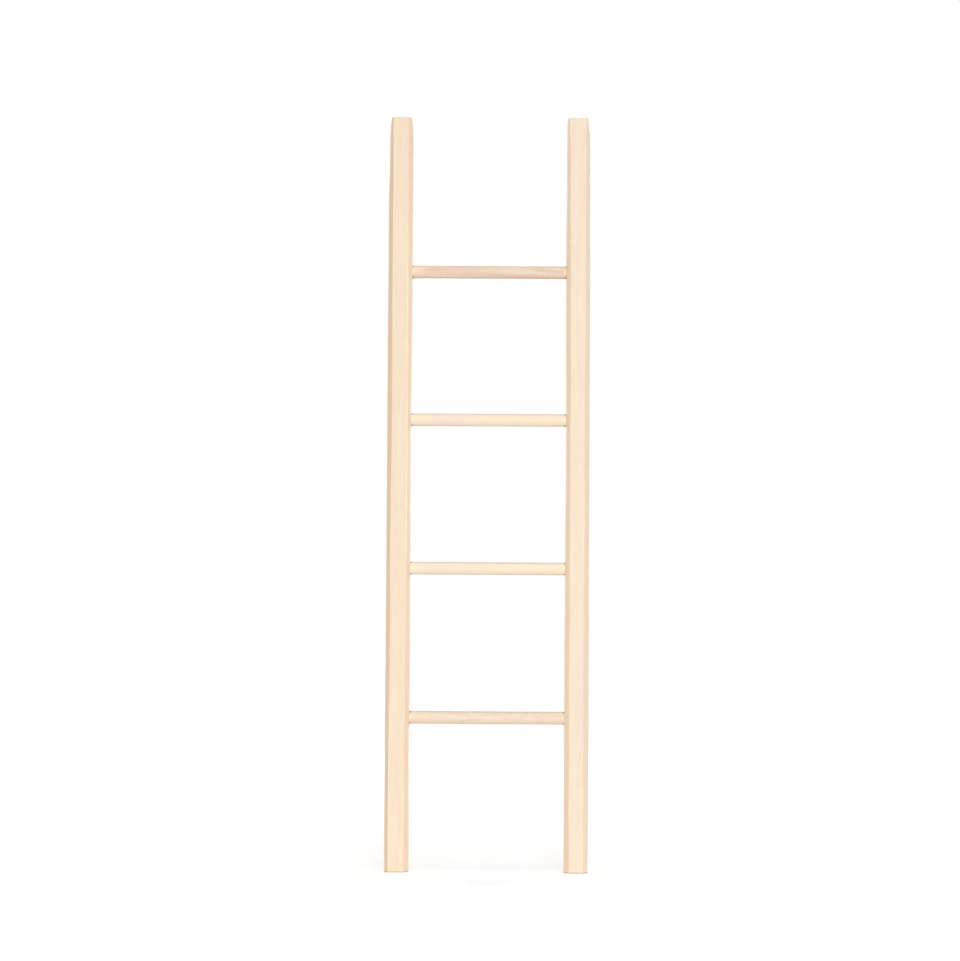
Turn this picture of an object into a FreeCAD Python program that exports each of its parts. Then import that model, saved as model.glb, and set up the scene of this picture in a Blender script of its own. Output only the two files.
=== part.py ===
import FreeCAD, Part
import math
import os

import Sketcher

# Blanket ladder: two bevelled timber rails and four round rungs.
#
# Frame, in millimetres: +Z runs up the ladder, +X from the left rail to the right rail as seen
# from the front, and the front faces -Y. The origin is on the floor, midway between the rails.
#
# Each rung end sits in a blind socket in its rail. A screw from the rail's outer side holds it,
# in a stepped bore that a flush wood plug closes. A thin pad under each rail meets the floor.

DRIVING_SIZES = [
    ("overall_height", 1500, "floor to the top of the rails"),
    ("rail_spacing", 355, "centre of one rail to the centre of the other"),
    ("rail_width", 48, "rail section along X"),
    ("rail_depth", 48, "rail section along Y"),
    ("rail_bevel", 9, "bevel taken off each long corner, along X and along Y"),
    ("edge_round", 2, "rounding where a flat meets a bevel"),
    ("tip_length", 40, "length of the taper at the top of a rail"),
    ("tip_inset", 2.8, "how far each flat draws in over that taper"),
    ("tip_round", 1.8, "rounding around the top end"),
    ("foot_easing", 0.5, "chamfer around the bottom end of a rail"),
    ("rung_count", 4, "number of rungs"),
    ("rung_diameter", 25, "dowel diameter"),
    ("rung_pitch", 296, "one rung to the next, centre to centre"),
    ("first_rung_height", 304, "floor to the centre of the lowest rung"),
    ("rung_end_chamfer", 1, "chamfer on the hidden ends of a rung"),
    ("socket_depth", 16, "depth of the socket in the rail's inner flat"),
    ("socket_clearance", 0.15, "between a rung and the wall of its socket"),
    ("socket_end_gap", 0.5, "glue space behind the end of a rung"),
    ("socket_rim", 1.2, "chamfer around the mouth of a socket"),
    ("plug_diameter", 10, "wood plug over a screw head"),
    ("plug_clearance", 0.05, "between a plug and its bore"),
    ("plug_gap", 0.5, "between a plug and the screw head under it"),
    ("plug_chamfer", 0.8, "chamfer on the hidden end of a plug"),
    ("plug_bore_depth", 14, "rail's outer flat to the seat of the screw head"),
    ("screw_diameter", 5, "outside diameter of the thread"),
    ("screw_root", 3.2, "diameter between the turns of the thread"),
    ("screw_shank", 3.6, "diameter of the smooth shank"),
    ("screw_length", 50, "under the head to the point"),
    ("smooth_length", 18, "length of the smooth shank"),
    ("screw_point", 5, "length of the point"),
    ("thread_pitch", 2.2, "one turn of the thread to the next"),
    ("screw_hole_clearance", 0.2, "between the thread and its hole in the rail"),
    ("thread_fit", 0.05, "between the thread and its hole in the rung"),
    ("pilot_spare", 2, "hole in the rung beyond the point of the screw"),
    ("head_diameter", 9, "screw head"),
    ("head_height", 3.4, "screw head"),
    ("head_round", 1.2, "easing around the top of the screw head"),
    ("recess_span", 5, "cross recess in the screw head, end to end"),
    ("recess_slot", 1.1, "width of each arm of the cross recess"),
    ("recess_depth", 2, "depth of the cross recess"),
    ("pad_thickness", 1.5, "non-slip pad under a rail"),
    ("pad_inset", 0.5, "from the outside of a rail to the edge of its pad"),
    ("pad_edge_chamfer", 0.4, "chamfer around the underside of a pad"),
]

LEFT, RIGHT = -1, 1
SIDE_NAMES = {LEFT: "left", RIGHT: "right"}

# A cut starts this far outside the face that it enters, so that it opens the face cleanly.
CUT_MARGIN = 1
# Length of a drilled hole's conical bottom as a share of its radius (118 degree drill point).
DRILL_POINT = 0.6

# Sizes worked out from the driving ones, as expressions.
RAIL_LENGTH = "(sizes.overall_height - sizes.pad_thickness)"
FIRST_BORE = "(sizes.first_rung_height - sizes.pad_thickness)"
SOCKET_RADIUS = "(sizes.rung_diameter / 2 + sizes.socket_clearance)"
PLUG_BORE_RADIUS = "(sizes.plug_diameter / 2 + sizes.plug_clearance)"
SCREW_HOLE_RADIUS = "(sizes.screw_diameter / 2 + sizes.screw_hole_clearance)"
PILOT_RADIUS = "(sizes.screw_diameter / 2 + sizes.thread_fit)"
RUNG_LENGTH = (
    "(sizes.rail_spacing - sizes.rail_width + 2 * (sizes.socket_depth - sizes.socket_end_gap))"
)
# Wood left in the rail between the seat of the screw head and the bottom of the socket.
RAIL_WEB = "(sizes.rail_width - sizes.plug_bore_depth - sizes.socket_depth)"
PILOT_DEPTH = f"(sizes.screw_length - {RAIL_WEB} - sizes.socket_end_gap + sizes.pilot_spare)"
PLUG_LENGTH = "(sizes.plug_bore_depth - sizes.head_height - sizes.plug_gap)"


# --- Sketch helpers ---------------------------------------------------------------------------


def make_size_sheet(doc):
    """Put the driving sizes in the document's spreadsheet, one named cell each."""
    sheet = doc.addObject("Spreadsheet::Sheet", "sizes")
    for row, (alias, size, note) in enumerate(DRIVING_SIZES, start=1):
        sheet.set(f"A{row}", alias)
        sheet.set(f"B{row}", str(size))
        sheet.set(f"C{row}", note)
        sheet.setAlias(f"B{row}", alias)
    doc.recompute()
    return sheet


def new_sketch(body, name, plane, offset=None):
    """Add a sketch on one of the body's own origin planes, moved along its normal by offset."""
    sketch = body.newObject("Sketcher::SketchObject", name)
    support = next(item for item in body.Origin.OriginFeatures if item.Role == plane)
    sketch.AttachmentSupport = (support, [""])
    sketch.MapMode = "FlatFace"
    if offset is not None:
        sketch.setExpression("AttachmentOffset.Base.z", offset)
    return sketch


def bind(sketch, kind, *elements, size):
    """Add a dimension to a sketch and bind it to an expression."""
    number = float(sketch.evalExpression(size))
    index = sketch.addConstraint(Sketcher.Constraint(kind, *elements, number))
    sketch.setExpression(f"Constraints[{index}]", size)


def draw_outline(sketch, corners):
    """Draw a closed outline of straight lines through corners, pairs of expressions."""
    points = [
        FreeCAD.Vector(float(sketch.evalExpression(x)), float(sketch.evalExpression(y)), 0)
        for x, y in corners
    ]
    following = points[1:] + points[:1]
    lines = [
        sketch.addGeometry(Part.LineSegment(start, end), False)
        for start, end in zip(points, following)
    ]
    for line, next_line in zip(lines, lines[1:] + lines[:1]):
        sketch.addConstraint(Sketcher.Constraint("Coincident", line, 2, next_line, 1))
    for line, (x, y) in zip(lines, corners):
        bind(sketch, "DistanceX", -1, 1, line, 1, size=x)
        bind(sketch, "DistanceY", -1, 1, line, 1, size=y)
    return lines


def draw_turned_outline(sketch, stations, axis_height="0"):
    """Draw half the section of a turned shape and the axis that it turns about.

    stations are (place along X, radius) pairs of expressions. The first and the last are on
    the axis, which lies axis_height above the sketch's own origin.
    """
    lines = draw_outline(sketch, [(x, f"{axis_height} + {radius}") for x, radius in stations])
    along_x = Part.LineSegment(FreeCAD.Vector(0, 0, 0), FreeCAD.Vector(1, 0, 0))
    axis = sketch.addGeometry(along_x, True)
    sketch.addConstraint(Sketcher.Constraint("Coincident", axis, 1, lines[0], 1))
    sketch.addConstraint(Sketcher.Constraint("Coincident", axis, 2, lines[-1], 1))


def draw_rail_section(sketch, inset, bevel):
    """Draw the rail's section, drawn in by inset all round, with its eight corners rounded.

    The section has four flats and four bevels. Side number k faces out at 45 degrees times k
    and lies at its own distance from the centre, and an arc joins it to the next side.
    """
    half_width = f"(sizes.rail_width / 2 - {inset})"
    half_depth = f"(sizes.rail_depth / 2 - {inset})"
    bevel_distance = f"(({half_width} + {half_depth} - {bevel}) / sqrt(2))"
    side_distances = [half_width, bevel_distance, half_depth, bevel_distance] * 2
    distances = [float(sketch.evalExpression(distance)) for distance in side_distances]
    radius = float(sketch.evalExpression("sizes.edge_round"))
    turn = math.pi / 4

    def outward(side):
        return FreeCAD.Vector(math.cos(side * turn), math.sin(side * turn), 0)

    def arc_centre(side):
        here = distances[side % 8] - radius
        beyond = distances[(side + 1) % 8] - radius
        along = FreeCAD.Vector(-math.sin(side * turn), math.cos(side * turn), 0)
        return outward(side) * here + along * ((beyond - here * math.cos(turn)) / math.sin(turn))

    lines = []
    arcs = []
    for side in range(8):
        start = arc_centre(side - 1) + outward(side) * radius
        end = arc_centre(side) + outward(side) * radius
        lines.append(sketch.addGeometry(Part.LineSegment(start, end), False))
        circle = Part.Circle(arc_centre(side), FreeCAD.Vector(0, 0, 1), radius)
        corner = Part.ArcOfCircle(circle, side * turn, (side + 1) * turn)
        arcs.append(sketch.addGeometry(corner, False))
    for side, (line, arc) in enumerate(zip(lines, arcs)):
        sketch.addConstraint(Sketcher.Constraint("Tangent", line, 2, arc, 1))
        sketch.addConstraint(Sketcher.Constraint("Tangent", arc, 2, lines[(side + 1) % 8], 1))
        heading = math.remainder((side + 2) * turn, 2 * math.pi)
        sketch.addConstraint(Sketcher.Constraint("Angle", line, heading))
        bind(sketch, "Distance", -1, 1, line, size=side_distances[side])
        bind(sketch, "Radius", arc, size="sizes.edge_round")


def revolve_full_turn(body, kind, name, sketch):
    """Turn a sketch about the axis drawn in it: kind is Revolution or Groove."""
    feature = body.newObject(f"PartDesign::{kind}", name)
    feature.Profile = sketch
    feature.ReferenceAxis = (sketch, ["Axis0"])
    feature.Angle = 360
    sketch.Visibility = False
    return feature


def edges_at_height(shape, height):
    """Name the edges of a shape that lie wholly at one height."""
    return [
        f"Edge{number}"
        for number, edge in enumerate(shape.Edges, start=1)
        if max(abs(edge.BoundBox.ZMin - height), abs(edge.BoundBox.ZMax - height)) < 1e-4
    ]


# --- Pieces -----------------------------------------------------------------------------------


def make_rail(doc, side):
    """One side rail: bevelled post, tapered tip, stepped bores for the rungs and their screws."""
    body = doc.addObject("PartDesign::Body", f"side_rail_{SIDE_NAMES[side]}")
    body.Label = body.Name
    tip_start = f"({RAIL_LENGTH} - sizes.tip_length)"

    post_section = new_sketch(body, "post_section", "XY_Plane")
    draw_rail_section(post_section, inset="0", bevel="sizes.rail_bevel")
    post = body.newObject("PartDesign::Pad", "post")
    post.Profile = post_section
    post.setExpression("Length", tip_start)

    tip_base = new_sketch(body, "tip_base", "XY_Plane", offset=tip_start)
    draw_rail_section(tip_base, inset="0", bevel="sizes.rail_bevel")
    tip_end = new_sketch(body, "tip_end", "XY_Plane", offset=RAIL_LENGTH)
    # The flats keep their width over the taper, so the bevels shorten by the inset.
    tip_bevel = "(sizes.rail_bevel - sizes.tip_inset)"
    draw_rail_section(tip_end, inset="sizes.tip_inset", bevel=tip_bevel)
    doc.recompute()
    tip = body.newObject("PartDesign::AdditiveLoft", "tip")
    tip.Profile = tip_base
    tip.Sections = [tip_end]
    tip.Ruled = True
    doc.recompute()

    # The stepped bore of one rung joint, from the rail's outer flat to its inner flat.
    inward = -side
    outer_flat = "(-sizes.rail_width / 2)"
    inner_flat = "(sizes.rail_width / 2)"
    mouth_radius = f"({SOCKET_RADIUS} + sizes.socket_rim)"
    steps = [
        (f"{outer_flat} - {CUT_MARGIN}", "0"),
        (f"{outer_flat} - {CUT_MARGIN}", PLUG_BORE_RADIUS),
        (f"{outer_flat} + sizes.plug_bore_depth", PLUG_BORE_RADIUS),
        (f"{outer_flat} + sizes.plug_bore_depth", SCREW_HOLE_RADIUS),
        (f"{inner_flat} - sizes.socket_depth", SCREW_HOLE_RADIUS),
        (f"{inner_flat} - sizes.socket_depth", SOCKET_RADIUS),
        (f"{inner_flat} - sizes.socket_rim", SOCKET_RADIUS),
        (inner_flat, mouth_radius),
        (f"{inner_flat} + {CUT_MARGIN}", mouth_radius),
        (f"{inner_flat} + {CUT_MARGIN}", "0"),
    ]
    bore_section = new_sketch(body, "bore_section", "XZ_Plane")
    draw_turned_outline(
        bore_section,
        [(f"{inward} * ({place})", radius) for place, radius in steps],
        axis_height=FIRST_BORE,
    )
    bore = revolve_full_turn(body, "Groove", "rung_joint_bore", bore_section)
    bore_row = body.newObject("PartDesign::LinearPattern", "rung_joint_bores")
    bore_row.Originals = [bore]
    z_axis = next(item for item in body.Origin.OriginFeatures if item.Role == "Z_Axis")
    bore_row.Direction = (z_axis, [""])
    bore_row.Mode = "Spacing"
    bore_row.setExpression("Offset", "sizes.rung_pitch")
    bore_row.setExpression("Occurrences", "sizes.rung_count")
    body.Tip = bore_row
    doc.recompute()

    top_end = float(body.evalExpression(RAIL_LENGTH))
    top_edges = body.newObject("PartDesign::Fillet", "top_edges")
    top_edges.Base = (bore_row, edges_at_height(bore_row.Shape, top_end))
    top_edges.setExpression("Radius", "sizes.tip_round")
    doc.recompute()
    foot_edges = body.newObject("PartDesign::Chamfer", "foot_edges")
    foot_edges.Base = (top_edges, edges_at_height(top_edges.Shape, 0))
    foot_edges.setExpression("Size", "sizes.foot_easing")
    body.Tip = foot_edges

    body.setExpression("Placement.Base.x", f"{side} * sizes.rail_spacing / 2")
    body.setExpression("Placement.Base.z", "sizes.pad_thickness")
    return body


def make_rung(doc, number):
    """One dowel rung, with a screw's pilot hole in each end. Rung 1 is the lowest."""
    body = doc.addObject("PartDesign::Body", f"rung_{number}")
    body.Label = body.Name
    end = f"({RUNG_LENGTH} / 2)"
    radius = "(sizes.rung_diameter / 2)"
    chamfer = "sizes.rung_end_chamfer"
    half = [
        (f"{end} - {PILOT_DEPTH} - {DRILL_POINT} * {PILOT_RADIUS}", "0"),
        (f"{end} - {PILOT_DEPTH}", PILOT_RADIUS),
        (end, PILOT_RADIUS),
        (end, f"({radius} - {chamfer})"),
        (f"{end} - {chamfer}", radius),
    ]
    mirrored = [(f"-({place})", width) for place, width in half]
    section = new_sketch(body, "rung_section", "XZ_Plane")
    draw_turned_outline(section, half + mirrored[::-1])
    body.Tip = revolve_full_turn(body, "Revolution", "dowel", section)
    body.setExpression(
        "Placement.Base.z", f"sizes.first_rung_height + {number - 1} * sizes.rung_pitch"
    )
    return body


def place_at_joint(body, side, number, depth):
    """Stand a screw or a plug in its bore, depth below the rail's outer flat.

    Both are drawn pointing along +X, from the outside in, which is right for the left rail.
    On the right rail they are turned half round.
    """
    if side == RIGHT:
        body.Placement = FreeCAD.Placement(
            FreeCAD.Vector(), FreeCAD.Rotation(FreeCAD.Vector(0, 0, 1), 180)
        )
    outer_flat = "(sizes.rail_spacing / 2 + sizes.rail_width / 2)"
    body.setExpression("Placement.Base.x", f"{side} * ({outer_flat} - {depth})")
    body.setExpression(
        "Placement.Base.z", f"sizes.first_rung_height + {number - 1} * sizes.rung_pitch"
    )


def make_screw(doc, sheet, side, number):
    """One pan-head screw, its underside seated in the bore. The thread is drawn as rings."""
    body = doc.addObject("PartDesign::Body", f"rung_screw_{number}_{SIDE_NAMES[side]}")
    body.Label = body.Name
    head_radius = "(sizes.head_diameter / 2)"
    root = "(sizes.screw_root / 2)"
    crest = "(sizes.screw_diameter / 2)"
    stations = [
        ("-sizes.head_height", "0"),
        ("-sizes.head_height", f"({head_radius} - sizes.head_round)"),
        ("-sizes.head_height + sizes.head_round", head_radius),
        ("0", head_radius),
        ("0", "(sizes.screw_shank / 2)"),
        ("sizes.smooth_length", "(sizes.screw_shank / 2)"),
        ("sizes.smooth_length", root),
    ]
    threaded = sheet.screw_length - sheet.smooth_length - sheet.screw_point
    for turn in range(int(threaded / sheet.thread_pitch)):
        stations += [
            (f"sizes.smooth_length + {turn + 0.5} * sizes.thread_pitch", crest),
            (f"sizes.smooth_length + {turn + 1} * sizes.thread_pitch", root),
        ]
    stations += [
        ("sizes.screw_length - sizes.screw_point", root),
        ("sizes.screw_length", "0"),
    ]
    section = new_sketch(body, "screw_section", "XZ_Plane")
    draw_turned_outline(section, stations)
    revolve_full_turn(body, "Revolution", "turned_screw", section)

    arm = "(sizes.recess_span / 2)"
    slot = "(sizes.recess_slot / 2)"
    quarter = [(arm, slot), (slot, slot), (slot, arm)]
    cross = []
    for _ in range(4):
        cross += quarter
        quarter = [(f"-{y}", x) for x, y in quarter]
    recess_outline = new_sketch(body, "recess_outline", "YZ_Plane", offset="-sizes.head_height")
    draw_outline(recess_outline, cross)
    recess = body.newObject("PartDesign::Pocket", "cross_recess")
    recess.Profile = recess_outline
    recess.Reversed = True
    recess.setExpression("Length", "sizes.recess_depth")
    body.Tip = recess
    place_at_joint(body, side, number, depth="sizes.plug_bore_depth")
    return body


def make_plug(doc, side, number):
    """One wood plug, flush with the rail's outer flat."""
    body = doc.addObject("PartDesign::Body", f"screw_plug_{number}_{SIDE_NAMES[side]}")
    body.Label = body.Name
    radius = "(sizes.plug_diameter / 2)"
    section = new_sketch(body, "plug_section", "XZ_Plane")
    stations = [
        ("0", "0"),
        ("0", radius),
        (f"{PLUG_LENGTH} - sizes.plug_chamfer", radius),
        (PLUG_LENGTH, f"({radius} - sizes.plug_chamfer)"),
        (PLUG_LENGTH, "0"),
    ]
    draw_turned_outline(section, stations)
    body.Tip = revolve_full_turn(body, "Revolution", "turned_plug", section)
    place_at_joint(body, side, number, depth="0")
    return body


def make_foot_pad(doc, side):
    """One thin pad, the shape of the rail's section, between the rail and the floor."""
    body = doc.addObject("PartDesign::Body", f"foot_pad_{SIDE_NAMES[side]}")
    body.Label = body.Name
    outline = new_sketch(body, "pad_outline", "XY_Plane")
    # Drawn in evenly, so the bevel shortens by this share of the inset.
    bevel = "(sizes.rail_bevel - (2 - sqrt(2)) * sizes.pad_inset)"
    draw_rail_section(outline, inset="sizes.pad_inset", bevel=bevel)
    slab = body.newObject("PartDesign::Pad", "slab")
    slab.Profile = outline
    slab.setExpression("Length", "sizes.pad_thickness")
    doc.recompute()
    underside = body.newObject("PartDesign::Chamfer", "underside_edges")
    underside.Base = (slab, edges_at_height(slab.Shape, 0))
    underside.setExpression("Size", "sizes.pad_edge_chamfer")
    body.Tip = underside
    body.setExpression("Placement.Base.x", f"{side} * sizes.rail_spacing / 2")
    return body


# --- Checks and export ------------------------------------------------------------------------


def check_document(doc, pieces):
    """Stop if any object failed to build or any piece isn't one valid solid."""
    for item in doc.Objects:
        if "Invalid" in item.State or "Error" in item.State:
            raise RuntimeError(f"{item.Label} did not build: {item.State}")
    for piece in pieces:
        shape = piece.Shape
        if shape.isNull() or not shape.isValid() or len(shape.Solids) != 1:
            raise RuntimeError(f"{piece.Label} is not one valid solid")


def main():
    doc = FreeCAD.newDocument("blanket_ladder")
    sheet = make_size_sheet(doc)
    rung_numbers = range(1, int(sheet.rung_count) + 1)

    pieces = [make_rail(doc, side) for side in (LEFT, RIGHT)]
    pieces += [make_rung(doc, number) for number in rung_numbers]
    for side in (LEFT, RIGHT):
        for number in rung_numbers:
            pieces.append(make_screw(doc, sheet, side, number))
            pieces.append(make_plug(doc, side, number))
        pieces.append(make_foot_pad(doc, side))

    doc.recompute()
    check_document(doc, pieces)
    os.makedirs("parts", exist_ok=True)
    for piece in pieces:
        piece.Shape.exportStep(f"parts/{piece.Label}.step")
        box = piece.Shape.BoundBox
        print(
            f"{piece.Label}: volume {piece.Shape.Volume:.1f}"
            f" x {box.XMin:.2f}..{box.XMax:.2f}"
            f" y {box.YMin:.2f}..{box.YMax:.2f}"
            f" z {box.ZMin:.2f}..{box.ZMax:.2f}"
        )


main()
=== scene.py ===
"""Looks of a wooden blanket ladder: two bevelled side rails, four dowel rungs, plugs and foot pads.

Everything is in metres in the row's own frame: +Z up the ladder, +X from the left rail to the
right rail as seen from the front, and the front faces -Y.
"""
from __future__ import annotations

import logging
import math
from collections.abc import Iterable, Mapping, Sequence
from dataclasses import dataclass, field
from enum import Enum
from typing import Any

import bmesh
import bpy
from bmesh.types import BMEdge, BMesh
from bpy.types import ID, Material, Mesh, Node, NodeSocket, NodeTree, Object
from mathutils import Matrix, Quaternion, Vector, noise

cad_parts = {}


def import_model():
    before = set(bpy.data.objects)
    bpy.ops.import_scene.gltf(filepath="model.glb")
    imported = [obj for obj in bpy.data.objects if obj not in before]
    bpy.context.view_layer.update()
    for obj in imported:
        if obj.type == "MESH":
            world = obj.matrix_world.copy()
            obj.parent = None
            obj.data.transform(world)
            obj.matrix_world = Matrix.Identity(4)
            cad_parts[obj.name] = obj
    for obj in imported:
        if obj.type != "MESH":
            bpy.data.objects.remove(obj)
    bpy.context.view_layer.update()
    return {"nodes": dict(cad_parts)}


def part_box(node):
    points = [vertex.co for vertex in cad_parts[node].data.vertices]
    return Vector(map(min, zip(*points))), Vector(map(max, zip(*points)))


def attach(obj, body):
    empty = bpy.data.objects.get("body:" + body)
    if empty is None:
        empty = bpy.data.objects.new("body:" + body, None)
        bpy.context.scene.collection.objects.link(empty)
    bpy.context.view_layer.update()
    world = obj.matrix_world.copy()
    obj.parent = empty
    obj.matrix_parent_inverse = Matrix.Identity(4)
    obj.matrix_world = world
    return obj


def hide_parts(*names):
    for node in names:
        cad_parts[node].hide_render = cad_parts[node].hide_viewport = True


LOG = logging.getLogger("blanket_ladder")
MM = 0.001
BODY = "root"
RUNG_COUNT = 4
Stations = Sequence[tuple[float, float]]


class Side(Enum):
    """Which rail a piece belongs to, seen from the front."""

    LEFT = -1
    RIGHT = 1

    @property
    def word(self) -> str:
        """The side's name as the nodes spell it."""
        return self.name.lower()


class GrainAxis(Enum):
    """The way the fibres of a piece of wood run."""

    UP = "Z"
    ACROSS = "X"

    def turn_to_z(self) -> Quaternion:
        """The turn that brings the fibres on to the pattern's own Z axis."""
        fibres = Vector([float(letter == self.value) for letter in "XYZ"])
        return fibres.rotation_difference(Vector((0.0, 0.0, 1.0)))


def linear(colour: str) -> tuple[float, float, float, float]:
    """Turn an sRGB hex colour into linear light.

    Args:
        colour: six hex digits after a hash sign.

    Returns:
        Red, green, blue and an alpha of 1.
    """
    parts = [int(colour[at : at + 2], 16) / 255 for at in (1, 3, 5)]
    red, green, blue = (
        part / 12.92 if part <= 0.04045 else ((part + 0.055) / 1.055) ** 2.4 for part in parts
    )
    return red, green, blue, 1.0


def add_node(
    tree: NodeTree, kind: str, inputs: Mapping[str | int, Any] | None = None, **settings: Any
) -> Node:
    """Add one node with its settings, and link or set its inputs.

    Args:
        tree: the material's or world's node tree.
        kind: the node's type name, without the ShaderNode in front.
        inputs: for each input, by name or number, an output to link or a plain value.
        settings: attributes of the node.

    Returns:
        The new node.
    """
    node = tree.nodes.new("ShaderNode" + kind)
    for name, setting in settings.items():
        setattr(node, name, setting)
    for socket, source in (inputs or {}).items():
        if isinstance(source, NodeSocket):
            tree.links.new(source, node.inputs[socket])
        else:
            node.inputs[socket].default_value = source
    return node


def new_material(name: str) -> tuple[Material, NodeTree]:
    """Make an empty node material.

    Args:
        name: the finish's name.

    Returns:
        The material and its node tree.
    """
    material = bpy.data.materials.new(name)
    material.use_nodes = True
    material.node_tree.nodes.clear()
    return material, material.node_tree


# --- Finishes ---


@dataclass(frozen=True)
class Fleck:
    """Short dashes along the fibres, such as resin canals and torn early wood. Lengths in mm."""

    colour: str = "#D9B284"
    across: float = 0.8
    along: float = 9.0
    low: float = 0.66
    high: float = 0.80
    share: float = 0.25


@dataclass(frozen=True)
class PaleSoftwood:
    """Planed and sanded pale softwood under a clear matt water-based finish.

    Slow-grown pine: each year's ring is a wide pale band that darkens to a thin late band and
    stops sharply. The rings are cylinders about a pith outside the piece, so the faces show
    long streaks and the ends show arcs, all from the same solid pattern. Lengths are in mm.
    """

    name: str
    early: str
    late: str
    blush: str
    honey: str
    grain: GrainAxis = GrainAxis.UP
    pith: tuple[float, float] = (70.0, 55.0)
    slope: tuple[float, float] = (0.0, 0.0)
    ring_width: float = 5.0
    ring_contrast: float = 0.25
    wander: float = 9.0
    fibre_depth: float = 0.1
    fleck: Fleck = Fleck()
    end_shade: str = "#D8B387"
    end_ring: str = "#B3814F"
    # Warm painted shade for the bevels of one diagonal of the square.
    bevel_shade_tone: str = "#FFD9AE"
    # Paler arrises, part wear and part painted highlight; rungs use it beside their rails too.
    wear_and_highlight: str = "#FFF3E0"
    # Painted shade: greys a rung's top and underside and darkens the corners beside its rails.
    painted_shade: str = "#83795F"
    joint_at: float | None = None
    mark_start: float = 9.0
    mark_full: float = 2.0
    log_length: float = 700.0
    seed: float = 0.0

    def pattern_place(self, centre: Vector) -> tuple[Vector, Vector]:
        """Where the solid pattern lies in the piece.

        Args:
            centre: the middle of the piece, in metres.

        Returns:
            The Mapping node's location in mm and its rotation in radians.
        """
        lean, tilt = (math.radians(angle) for angle in self.slope)
        sloped = Quaternion((1.0, 0.0, 0.0), lean) @ Quaternion((0.0, 1.0, 0.0), tilt)
        turn = sloped @ self.grain.turn_to_z()
        home = Vector((*self.pith, self.log_length * self.seed))
        return home - turn @ (centre / MM), Vector(turn.to_euler("XYZ"))

    def make(self, centre: Vector) -> Material:
        """Build the material.

        Args:
            centre: the middle of the piece, in metres.

        Returns:
            A material whose colour, roughness and bump come from one solid wood pattern.
        """
        # To the eye: creamy, dry wood with soft long streaks, dull ends, paler arrises that are
        # part wear and part painted highlight, and a warm painted shade on the bevels of one
        # diagonal.
        material, tree = new_material(self.name)
        source = add_node(tree, "TexCoord")
        location, rotation = self.pattern_place(centre)
        place = add_node(
            tree, "Mapping", {
                "Vector": source.outputs["Object"], "Location": location, "Rotation": rotation,
                "Scale": (1 / MM, 1 / MM, 1 / MM),
            },
        ).outputs["Vector"]
        ring, ring_share = self.add_rings(tree, place)
        # The fibres are 0.03 mm wide in the wood. They are drawn fifteen times coarser to show.
        fibre = self.add_cloud(tree, place, across=0.45, along=28.0, detail=3.0)
        streak = self.add_cloud(tree, place, across=11.0, along=330.0, detail=1.0)
        colour = self.add_figure(tree, place, ring_share, fibre, streak)
        colour = self.add_work_marks(tree, source, colour, ring, streak)
        # A rung gets painted shade on its top and underside and a painted shadow beside its rails.
        if self.joint_at is not None:
            colour = self.add_rung_shade_and_marks(tree, source, colour)

        # The finish sinks into the early wood and stays smoother over the fibre bundles.
        roughness = add_node(
            tree,
            "MapRange",
            {"Value": fibre, "From Min": 0.25, "From Max": 0.75, "To Min": 0.46, "To Max": 0.62},
        ).outputs["Result"]
        grooves = add_node(
            tree, "Math", {0: ring, 1: 0.6, 2: fibre}, operation="MULTIPLY_ADD"
        ).outputs[0]
        relief = add_node(
            tree, "Bump", {"Strength": 0.35, "Distance": 0.08 * MM, "Height": grooves}
        ).outputs["Normal"]
        surface = add_node(
            tree, "BsdfPrincipled", {
                "Base Color": colour, "Roughness": roughness, "Specular IOR Level": 0.35,
                "Normal": relief,
            },
        )
        add_node(tree, "OutputMaterial", {"Surface": surface.outputs["BSDF"]})
        return material

    def add_cloud(
        self, tree: NodeTree, place: NodeSocket, across: float, along: float, detail: float
    ) -> NodeSocket:
        """Add a soft random pattern drawn out along the fibres.

        Args:
            tree: the node tree.
            place: the pattern's coordinates.
            across: its size across the fibres, in mm.
            along: its size along the fibres, in mm.
            detail: how many finer layers it has.

        Returns:
            A value around 0.5.
        """
        stretched = add_node(
            tree, "VectorMath", {0: place, 1: (1 / across, 1 / across, 1 / along)},
            operation="MULTIPLY",
        ).outputs["Vector"]
        return add_node(
            tree,
            "TexNoise",
            {"Vector": stretched, "Scale": 1.0, "Detail": detail, "Roughness": 0.55},
        ).outputs["Fac"]

    def add_rings(self, tree: NodeTree, place: NodeSocket) -> tuple[NodeSocket, NodeSocket]:
        """Add the growth rings.

        Args:
            tree: the node tree.
            place: the pattern's coordinates.

        Returns:
            How late in its year the wood grew, from 0 to 1, and that times the ring's contrast.
        """
        # The rings drift over 90 mm across the log and 380 mm along it.
        slow = add_node(
            tree, "VectorMath", {0: place, 1: (1 / 90, 1 / 90, 1 / 380)}, operation="MULTIPLY"
        ).outputs["Vector"]
        drift = add_node(
            tree, "TexNoise", {"Vector": slow, "Scale": 1.0, "Detail": 2.0}
        ).outputs["Color"]
        centred = add_node(
            tree, "VectorMath", {0: drift, 1: (0.5, 0.5, 0.5)}, operation="SUBTRACT"
        ).outputs["Vector"]
        wandered = add_node(
            tree, "VectorMath", {0: centred, 1: (2 * self.wander, 2 * self.wander, 0.0), 2: place},
            operation="MULTIPLY_ADD",
        ).outputs["Vector"]
        flat = add_node(
            tree, "VectorMath", {0: wandered, 1: (1.0, 1.0, 0.0)}, operation="MULTIPLY"
        ).outputs["Vector"]
        radius = add_node(tree, "VectorMath", {0: flat}, operation="LENGTH").outputs["Value"]
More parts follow.
